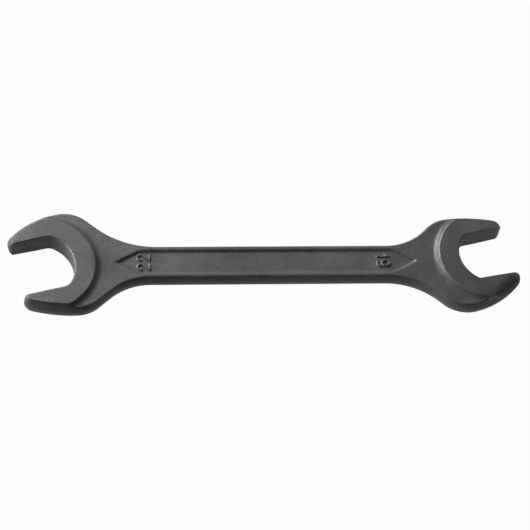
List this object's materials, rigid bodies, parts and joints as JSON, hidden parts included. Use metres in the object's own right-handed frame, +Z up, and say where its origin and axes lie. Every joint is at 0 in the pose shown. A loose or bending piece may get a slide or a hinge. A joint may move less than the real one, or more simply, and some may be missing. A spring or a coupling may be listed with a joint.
{
  "type": "open end wrench",
  "caption": "Double open ended wrench, drop forged in one piece, with a jaw of another size at each end and a pointed panel sunk into both faces of the shank.",
  "frame": {"origin": "middle of the wrench's box in plan, on the surface that the wrench lies on", "axes": "+X along the shank from the large head to the small one, +Z up out of the face that the wrench doesn't lie on"},
  "size_m": [0.1942, 0.0422, 0.0093],
  "materials": {
    "phosphated_steel": "drop forged and shot blasted steel with a dark grey phosphate finish, satin, with a fine grain"
  },
  "bodies": {
    "root": {"wrench_forging": "phosphated_steel"}
  },
  "joints": []
}
